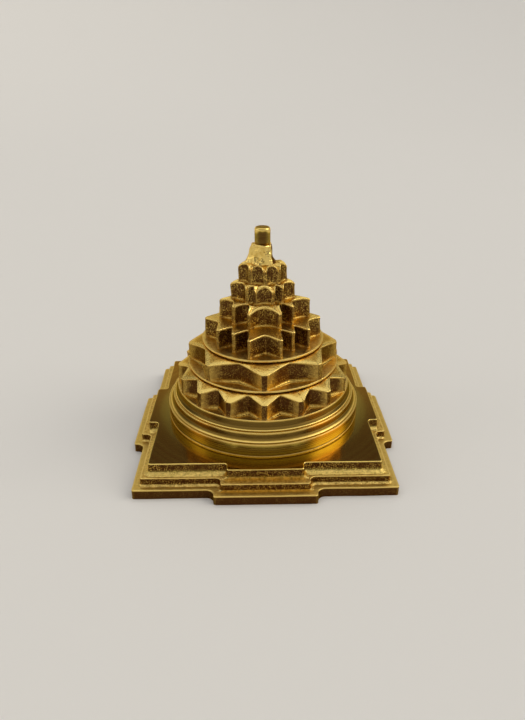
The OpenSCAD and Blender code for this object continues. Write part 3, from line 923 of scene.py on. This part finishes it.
def ring_corners(foot, key_top, spigot, wall):
    """Profile of a plinth ring: bore, spigot and seat, then the corners of its wall, then its socket."""
    socket = RING_SPIGOT + KEY_GAP
    bore = [(BORE_R, foot + SOCKET_H), (BORE_R, key_top), (spigot, key_top), (spigot, key_top - KEY_H)]
    return bore + wall + [(socket, foot), (socket, foot + SOCKET_H)]


def grooved_ring(name):
    """The lowest plinth ring: an upright wall with a fine groove above its foot."""
    foot, key_top, outer = lathe_levels(name)
    top, lip = key_top - KEY_H, foot + LIP_H
    wall = [
        (outer, top), (outer, lip + GROOVE), (outer - GROOVE, lip + GROOVE), (outer - GROOVE, lip),
        (outer, lip), (outer, foot),
    ]
    bright = [(outer, top), (outer, lip), (outer, foot + LIP_BRIGHT)]
    # The groove is painted dark, as a painted shadow.
    dark = [(outer - GROOVE, lip + 0.5 * GROOVE)]
    return turned(name, ring_corners(foot, key_top, RING_SPIGOT, wall), bright, dark, TURNED)


def flared_ring(name, spigot, top_shine):
    """A plinth ring with an upright wall over a sloping flare, which ends in a lip."""
    foot, key_top, outer = lathe_levels(name)
    top, lip, inner = key_top - KEY_H, foot + LIP_H, outer - FLARE
    wall = [
        (inner, top), (inner, lip + SLOPE_H), (outer, lip),
        (outer, foot + FOOT_CUT), (outer - FOOT_CUT, foot),
    ]
    bright = [(inner, top), (outer, lip)]
    # The foot, the middle of the slope and the wall above are painted dark: painted shade and dark
    # reflection.
    dark = [(outer - FOOT_CUT, foot), (outer - 0.5 * FLARE, lip + 0.5 * SLOPE_H), (inner, lip + SLOPE_H)]
    dark += [(inner, z) for z in np.arange(lip + SLOPE_H, top - WALL_STEP, WALL_STEP)]
    corners = ring_corners(foot, key_top, spigot, wall)
    return turned(name, corners, bright, dark, TURNED, top=top, top_shine=top_shine)


grooved_ring("trivalaya_lower")
flared_ring("trivalaya_middle", RING_SPIGOT, top_shine=0.3)
flared_ring("trivalaya_upper", SIXTEEN_SPIGOT, top_shine=0.9)

# %% [markdown]
# ## The thin discs
#
# A thin disc lies on each ring of petals and carries the next tier. Its upper edge is bright, and its
# lower half is undercut, so a dark line runs round under the rim, deepened by a painted shadow.

# %% Discs
UNDERCUT = 0.6
UNDERCUT_FALL = 0.08
RIM_LEVEL = 0.45
LOTUS_SPIGOT = 8
STAR_SPIGOT = 5


def thin_disc(name, spigot):
    """A disc with a rounded bright rim, undercut below the middle of its edge."""
    foot, top, outer = lathe_levels(name)
    rim = (1 - RIM_LEVEL) * foot + RIM_LEVEL * top
    hole, inner = spigot + KEY_GAP, outer - UNDERCUT
    corners = [
        (hole, foot), (hole, top), (outer, top), (outer, rim), (inner, rim - UNDERCUT_FALL), (inner, foot)
    ]
    # The undercut is painted dark, as a painted shadow under the rim.
    bright, dark = [(outer, top), (outer, rim)], [(inner, foot), (inner, rim)]
    return turned(name, corners, bright, dark, CAST_DISC, ease=0.12, top=top, top_shine=0.8)


thin_disc("lotus_disc", LOTUS_SPIGOT)
thin_disc("star_disc", STAR_SPIGOT)

# %% [markdown]
# ## The lotus rings and the stars
#
# Petals and stars are the same kind of piece: a plan with points and hollows, a top that falls away
# towards the tips, and dark walls in the hollows, painted dark partly as tarnish and mostly as painted
# shade and dark reflection. Bright walls beside the tips are partly a painted highlight. The fall of the
# top is read from the CAD solid. On a petal ring it runs outwards from the disc that lies on it, and on
# a star it runs to the front and the back, like a low roof. The tips of a star droop below the middle of
# its niches, which draws an arch over each niche. The petals keep straight edges.

# %% Roofs
TIP_SHARE = 0.97


def to_front(plan):
    """Distance to the front or to the back."""
    return np.abs(plan[..., 1])


def fall(name, top, measure):
    """Height of a tier's top, as a function of its plan: flat as far as the CAD top is, then a straight
    fall to the level of the CAD solid at its furthest points. measure gives the distance that counts."""
    points = node_points(name)
    away = measure(points[:, :2])
    flat = away[np.abs(points[:, 2] - top) < SAME_LEVEL].max()
    reach = away.max()
    tip_level = points[away > TIP_SHARE * reach, 2].max()
    print(f"{name}: top falls by {top - tip_level:.2f} mm")

    def height(plan):
        """Height of the top over each point of a plan."""
        return top - (top - tip_level) * np.clip((measure(plan) - flat) / (reach - flat), 0, 1)

    return height


# %% Marks on a wall
TIP_COVE = 0.12
LOW_RANGE = (0.4, 1.2)
LOW_BOUNCE_LIGHT = 0.6
LOW_LESS_SHADE = 0.4
BLUNT_FACE = (0.9, 0.98)
BLUNT_START = (0.6, 0.8)


def wall_marks(line, u, depth, rise, look):
    """How rubbed and lit, and how tarnished and shaded, the walls of a tier are, depth below its edge and
    rise above its foot.

    u goes from 0 in a hollow to 1 at a tip. The upper rim is rubbed. The walls beside the tips are
    rubbed and carry a painted highlight, and the cove in each hollow carries a painted bounce of light
    from what the tier stands on. All the rest is painted dark, partly as tarnish and mostly as painted
    shade and dark reflection, most of all the blunt ends, which face straight out from the axis and carry
    a painted dark reflection.
    """
    beside_tip = smooth_step(look["flank"], 1.0, u)
    straight_out = (out_of(line) * line).sum(axis=1) / from_axis(line)
    # Painted dark reflection on the blunt ends.
    end = look["blunt"] * smooth_step(*BLUNT_FACE, straight_out) * smooth_step(*BLUNT_START, u)
    low = 1 - smooth_step(*LOW_RANGE, rise / (TIP_COVE + look["cove"]))
    on_rim = 1 - smooth_step(FULL_SHARE * look["rim"], look["rim"], depth)
    in_hollow = smooth_step(0.0, 0.5, 1 - u)
    # Painted highlight beside the tips, and a painted bounce of light in the cove of each hollow.
    walls = np.maximum(look["tip_wear_and_highlight"] * beside_tip * (1 - end), LOW_BOUNCE_LIGHT * low * in_hollow)
    # Painted shade and dark reflection, partly tarnish, lifted in the cove.
    dark = np.maximum(look["shade"] + (1 - look["shade"]) * (1 - beside_tip), end)
    return np.maximum(on_rim, walls), (1 - on_rim) * dark * (1 - LOW_LESS_SHADE * low)


# %% One tier with points
POINTED_POINTS = 1200
POINTED_TOP_SHARES = np.concatenate([np.linspace(0.04, 0.84, 12), [0.88, 0.92, 0.95, 0.975]])
PAST_SOCKET = 1.05
ROUNDER_TIP = 0.5
ROUNDER_FROM = 0.7
BRIGHT_TOP_FROM = 0.8


def pointed_tier(name, key_h, key, socket, measure, material, look):
    """A petal ring or a star.

    measure is the distance along which its top falls. look says the rest: soft rounds its points, arch
    bends its niches, edge rounds its upper edge, and droop is how much lower its tips are than the
    middle of its niches. With u from 0 in a hollow to 1 at a tip, the edge drops by
    droop * (1 - sqrt(1 - u^2)), which draws a round arch over each niche, and skirt is the share of the
    way out at which the top begins to follow. shine is how rubbed its top is, tip_wear_and_highlight how
    rubbed its walls are from flank on, with a painted highlight, rim the height of its bright upper edge,
    shade how dark its walls are painted outside the hollows, as tarnish and painted shade, blunt how dark
    its blunt ends are painted, as a painted dark reflection, and cove how much larger the cove at the foot
    is in a hollow than at a tip.
    """
    foot, key_top = (corner.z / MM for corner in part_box(name))
    top = key_top - key_h
    beyond = PAST_SOCKET * from_axis(socket(CIRCLE)).max()
    line, stands_out = cast_outline(name, beyond, POINTED_POINTS, look["soft"], look["arch"])
    u = way_to_tip(stands_out)
    sag = look["droop"] * (1 - np.sqrt(1 - u ** 2))
    edge = look["edge"] * (1 + ROUNDER_TIP * smooth_step(ROUNDER_FROM, 1.0, u))
    inner = line - out_of(line) * edge[:, None]
    roof = fall(name, top, measure)
    below, above = hidden_rings(line, foot, socket(line), foot + SOCKET_H, key(line), top, key_top)
    lid = top_rings(key(line), inner, roof, POINTED_TOP_SHARES)
    lid[..., 2] -= sag * smooth_step(look["skirt"], 1.0, POINTED_TOP_SHARES)[:, None]
    top_edge = roof(line) - sag
    side = side_rings(line, top_edge, foot, edge, TIP_COVE + look["cove"] * (1 - u))
    walls, dark = wall_marks(line, u, top_edge - side[..., 2], side[..., 2] - foot, look)
    outer_top = smooth_step(BRIGHT_TOP_FROM, 1.0, POINTED_TOP_SHARES)[:, None]
    roof_shine = look["shine"] + (1 - look["shine"]) * outer_top
    sets = (above, lid, side, below)
    rubbed_and_lit, tarnished_and_shaded = stacked(sets, (0, roof_shine, walls, 0)), stacked(sets, (0, 0, dark, 1))
    rings = wobble(np.concatenate(sets), size=0.05, pitch=4)
    return put(name, closed_skin(name, rings, rubbed_and_lit, tarnished_and_shaded), material)


# %% Lotus rings
PETAL_LOOK = dict(
    soft=0.05, arch=1.1, edge=0.11, droop=0, skirt=0.7, shine=0.45,
    tip_wear_and_highlight=0.55, flank=0.3, rim=0.2, shade=0.7, blunt=1, cove=0.7,
)
DISC_H = 0.9
for name, spigot, spigot_below in (
    ("sixteen_petal_lotus", LOTUS_SPIGOT, SIXTEEN_SPIGOT), ("eight_petal_lotus", STAR_SPIGOT, LOTUS_SPIGOT)
):
    key, socket = round_register(spigot), round_register(spigot_below + KEY_GAP)
    pointed_tier(name, DISC_H + KEY_H, key, socket, from_axis, CAST_PETAL, PETAL_LOOK)

# %% Stars
STAR_LOOK = dict(
    soft=0.08, edge=0.16, skirt=0.4, shine=0.8,
    tip_wear_and_highlight=0.4, flank=0.7, rim=0.3, shade=0.85, blunt=0, cove=0.4,
)
STAR_KEY = 1.8
TRIKONA_SPIGOT = 1.6
star_key, star_socket = square_register(STAR_KEY), square_register(STAR_KEY + KEY_GAP)
for name, key, socket, arch, droop in (
    ("fourteen_point_star", star_key, round_register(STAR_SPIGOT + KEY_GAP), 1.25, 0.15),
    ("outer_ten_point_star", star_key, star_socket, 1.9, 0.7),
    ("inner_ten_point_star", star_key, star_socket, 1.35, 1.2),
    ("eight_point_star", round_register(TRIKONA_SPIGOT), star_socket, 2.0, 1.7),
):
    look = dict(STAR_LOOK, arch=arch, droop=droop)
    pointed_tier(name, KEY_H, key, socket, to_front, CAST_STAR, look)

# %% [markdown]
# ## The three-sided block and the pin
#
# The block under the pin leans in on all sides, so its wall runs from one outline at the foot to
# another at the top. It was shaped by hand, and its faces are lumpy and rubbed pale, partly as a painted
# highlight, all but the one to the right, which is painted dark as painted shade. The faces also grow a
# little darker towards the foot. The pin above it is turned. Its round shoulder is painted bright as a
# highlight, and its side and flat top are painted dark as a dark reflection, darkest in three lobes, one
# of them to the front.

# %% Trikona
TRIKONA_POINTS = 480
TRIKONA_BEYOND = 1.9
TRIKONA_SOFT = 0.12
TRIKONA_EDGE = 0.25
TRIKONA_ROWS = 22
FOOT_FLARE = 0.9
FLARE_H = 3.0
LEFT_FLARE = 0.6
FACE_RANGE = (2.3, 3.2)
CORNER_R = 2.3
CORNER_LEAN = 0.12
CORNER_FADE = (0.2, 0.8)
RIGHT_FACE = (0.6, 0.9)
FACE_SHINE = 0.8
FACE_DARKER_BELOW = 0.3
MOUTH_R = 1.1 * BORE_R


def trikona(name):
    """The block: foot and top outlines joined by leaning walls, with a rounded upper edge and a flared foot.

    The flare at height h is FOOT_FLARE * (1 - h / FLARE_H)^2 in the middle of each face, less at the
    corner to the left, and nothing at the other two corners.
    """
    points = node_points(name)
    foot, top = points[:, 2].min(), points[:, 2].max()
    plans = (walk(corners_at(points, z, TRIKONA_BEYOND), TRIKONA_POINTS) for z in (foot, top))
    low, high = (soften(plan, TRIKONA_SOFT) for plan in plans)
    h = np.linspace(top - TRIKONA_EDGE - foot, 0, TRIKONA_ROWS)[:, None]
    to_left = smooth_step(0.0, 1.0, -low[:, 0] / np.abs(low[:, 0]).max())
    face = np.maximum(1 - smooth_step(*FACE_RANGE, from_axis(low)), LEFT_FLARE * to_left)
    flare = FOOT_FLARE * np.clip(1 - h / FLARE_H, 0, 1) ** 2 * face
    leaning = low + (high - low) * (h / (top - foot))[..., None]
    wall = raised(leaning + out_of(low) * flare[..., None], foot + LIP + h)
    a = np.linspace(0, np.pi / 2, ROUND_ROWS)[:-1, None]
    rim_plan = high - out_of(high) * (TRIKONA_EDGE * (1 - np.sin(a)))[..., None]
    rim = raised(rim_plan, top - TRIKONA_EDGE * (1 - np.cos(a)))
    socket, mouth = round_plan(low, TRIKONA_SPIGOT + KEY_GAP), round_plan(low, MOUTH_R)
    below, above = hidden_rings(low, foot, socket, foot + SOCKET_H, mouth, top, top)
    sets = (above[[0, 2]], rim, wall, ring(wall[-1, :, :2], foot), below)
    rings = wobble(np.concatenate(sets), size=0.08, pitch=2.1)
    depth = top - rings[..., 2]
    corner = smooth_step(*CORNER_FADE, from_axis(rings[..., :2]) - CORNER_R - CORNER_LEAN * depth)
    # Painted shade on the face to the right, a painted highlight on the other faces, and darker towards the
    # foot.
    to_right = smooth_step(*RIGHT_FACE, out_of(low)[:, 0])
    end_face = to_right * (1 - corner) * smooth_step(0.2, 0.6, depth)
    edges = np.maximum(1 - smooth_step(0.1, 0.5, depth), corner)
    rubbed_and_lit = (FACE_SHINE + (1 - FACE_SHINE) * edges) * (1 - end_face)
    tarnished_and_shaded = np.maximum(FACE_DARKER_BELOW * smooth_step(1.0, 2.5, depth), end_face)
    return put(name, closed_skin(name, rings, rubbed_and_lit, tarnished_and_shaded), CAST_BLOCK)


trikona("trikona")

# %% Bindu
BLIND_R = 1.05
BLIND_H = 2.6
SHOULDER = 0.6
SHOULDER_ROWS = 8
SEAM_DEPTH = 0.15
SEAM_H = 0.3
POLE_R = 0.3
PIN_STEP = 0.3
BORDER_DEPTH = 0.95
BORDER_FADE = (-0.4, 0.3)
TOP_DARK_REFLECTION = 0.7


def bindu(name):
    """The pin: a profile carried round the axis, from a pole at its top to a pole inside its blind hole.

    The border between its shoulder, painted bright as a highlight, and its side, painted dark as a dark
    reflection, lies BORDER_DEPTH below the top, less a wave of 3 crests round the pin and plus a smaller
    one of 7. The 3 crests also make three darker lobes of the painted reflection, one to the front.
    """
    foot, top, outer = lathe_levels(name)
    a = np.linspace(0, np.pi / 2, SHOULDER_ROWS)
    shoulder = np.stack([outer - SHOULDER * (1 - np.sin(a)), top - SHOULDER * (1 - np.cos(a))], axis=1)
    seam_r = outer - SEAM_DEPTH
    seam = [(outer, foot + SEAM_H), (seam_r, foot + 0.5 * SEAM_H), (seam_r, foot)]
    hole = [(BLIND_R, foot), (BLIND_R, foot + BLIND_H), (POLE_R, foot + BLIND_H)]
    profile = refined(np.vstack([[(POLE_R, top)], shoulder, seam, hole]), PIN_STEP)
    quads, here, beside = strip(len(profile), TURNED_POINTS)
    upper, lower = here.size + np.broadcast_to([[0], [1]], (2, TURNED_POINTS))
    cap = np.stack([upper, here[0], beside[0]], axis=-1)
    bottom = np.stack([lower, beside[-1], here[-1]], axis=-1)
    points = np.concatenate([round_rings(profile).reshape(-1, 3), [(0, 0, top), (0, 0, foot + BLIND_H)]])
    depth = top - points[:, 2]
    bearing = np.arctan2(points[:, 1], points[:, 0])
    # Painted highlight on the shoulder, and painted dark reflection on the side and the flat top.
    border = BORDER_DEPTH - 0.25 * np.sin(3 * bearing) + 0.1 * np.sin(7 * bearing)
    body = smooth_step(*BORDER_FADE, depth - border)
    dark_lobes = 0.75 + 0.25 * np.sin(3 * bearing)
    marks = {
        "rubbed_and_lit": smooth_step(0.0, 0.15, depth) * (1 - body),
        "tarnished_and_shaded": np.maximum(body * dark_lobes, TOP_DARK_REFLECTION * (1 - smooth_step(0.02, 0.15, depth))),
    }
    return put(name, skin(name, points, [quads, np.concatenate([cap, bottom])], marks), PIN)


bindu("bindu")

# %% [markdown]
# ## The hidden hardware
#
# The tie rod, the washer and the nut keep their CAD solids, which are true already. They only get the
# turned finish.

# %% Hardware
for name in ("tie_rod", "washer", "nut"):
    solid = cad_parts[name]
    solid.data.materials.clear()
    solid.data.materials.append(TURNED)
print("hardware dressed")

# %% [markdown]
# ## The studio
#
# The object stands in a wide pale dish: a floor that curves up all round into a low wall, so that no
# horizon shows from any side. A metal shows what it reflects, so the studio is as much a part of the
# picture as the lamps. The walls are pale up to a quarter of the way to the ceiling, where level tops
# find their reflection, and the ceiling is dim, so that the polished plate stays deep in tone. A broad
# soft light fills the middle of the ceiling, a warm one stands to the right, and a weak one to the left.
# All three are very far away, so they light the floor evenly and leave no hot spot on it.

# %% Dish
DISH_FLOOR_R = 700
DISH_CURVE_R = 1800
DISH_WALL_H = 700
DISH_POINTS = 96
DISH_ROWS = 24
PALE_FLOOR = (0.78, 0.765, 0.74, 1)
FLOOR_ROUGHNESS = 0.9


def dish():
    """Floor and wall: a floor line and an arc that rises from it to the wall's height, round the axis.

    At angle a, an arc of radius R lies R sin a beyond the floor's edge and R (1 - cos a) above it.
    """
    a = np.linspace(0, np.arccos(1 - DISH_WALL_H / DISH_CURVE_R), DISH_ROWS)
    r = np.append(DISH_FLOOR_R / 2, DISH_FLOOR_R + DISH_CURVE_R * np.sin(a))[:, None]
    z = np.append(0, DISH_CURVE_R * (1 - np.cos(a)))[:, None]
    turn = np.linspace(0, 2 * np.pi, DISH_POINTS, endpoint=False)
    grid = np.stack(np.broadcast_arrays(r * np.cos(turn), r * np.sin(turn), z), axis=-1)
    quads, here, beside = strip(len(r), DISH_POINTS)
    fan = np.stack([np.full(DISH_POINTS, here.size), here[0], beside[0]], axis=-1)
    return skin("studio_dish", np.concatenate([grid.reshape(-1, 3), np.zeros((1, 3))]), [quads, fan], {})


floor = bpy.data.objects.new("studio_dish", dish())
bpy.context.scene.collection.objects.link(floor)
floor_material = bpy.data.materials.new("pale_floor")
floor_material.use_nodes = True
floor_surface = floor_material.node_tree.nodes["Principled BSDF"].inputs
floor_surface["Base Color"].default_value = PALE_FLOOR
floor_surface["Roughness"].default_value = FLOOR_ROUGHNESS
floor.data.materials.append(floor_material)
print("dish of", len(floor.data.polygons), "faces")

# %% Lamps
OBJECT_MIDDLE = Vector((0, 0, 25))


def far_light(name, place, spread, radiance, tint):
    """A round soft light far away in the direction of a place, spread degrees wide.

    It gives the same light all over the floor. A disc of radiance L and half width a, in degrees,
    gives pi * L * sin(a)^2.
    """
    data = bpy.data.lights.new(name, "SUN")
    data.angle = radians(spread)
    data.energy = np.pi * radiance * np.sin(radians(spread) / 2) ** 2
    data.color = tint
    lamp = bpy.data.objects.new(name, data)
    bpy.context.scene.collection.objects.link(lamp)
    lamp.location = Vector(place) * MM
    lamp.rotation_mode = "QUATERNION"
    lamp.rotation_quaternion = (Vector(place) - OBJECT_MIDDLE).to_track_quat("Z", "Y")
    lamp.visible_camera = False


far_light("ceiling_light", (0, 60, 1000), spread=92, radiance=0.82, tint=(1.0, 0.98, 0.95))
far_light("key_light", (1000, -60, 660), spread=42, radiance=2.7, tint=(1.0, 0.95, 0.84))
far_light("fill_light", (-1000, -120, 500), spread=24, radiance=1.2, tint=(1.0, 0.96, 0.9))
bpy.context.scene.view_settings.view_transform = "Standard"

# %% World
WALL_TOP = 0.43
CEILING_START = 0.53
WALL_GLOW = 0.59
CEILING_GLOW = 0.1
WALL_TINT = (1.0, 0.96, 0.9, 1)

world = bpy.data.worlds.new("studio_world")
world.use_nodes = True
sky = world.node_tree
upward = add(sky, "SeparateXYZ", [(0, add(sky, "TexCoord").outputs["Generated"])]).outputs[2]
background = sky.nodes["Background"].inputs
background["Color"].default_value = WALL_TINT
feed(sky, background["Strength"], between(sky, upward, WALL_TOP, CEILING_START, WALL_GLOW, CEILING_GLOW))
bpy.context.scene.world = world
print("world: walls", WALL_GLOW, "ceiling", CEILING_GLOW)
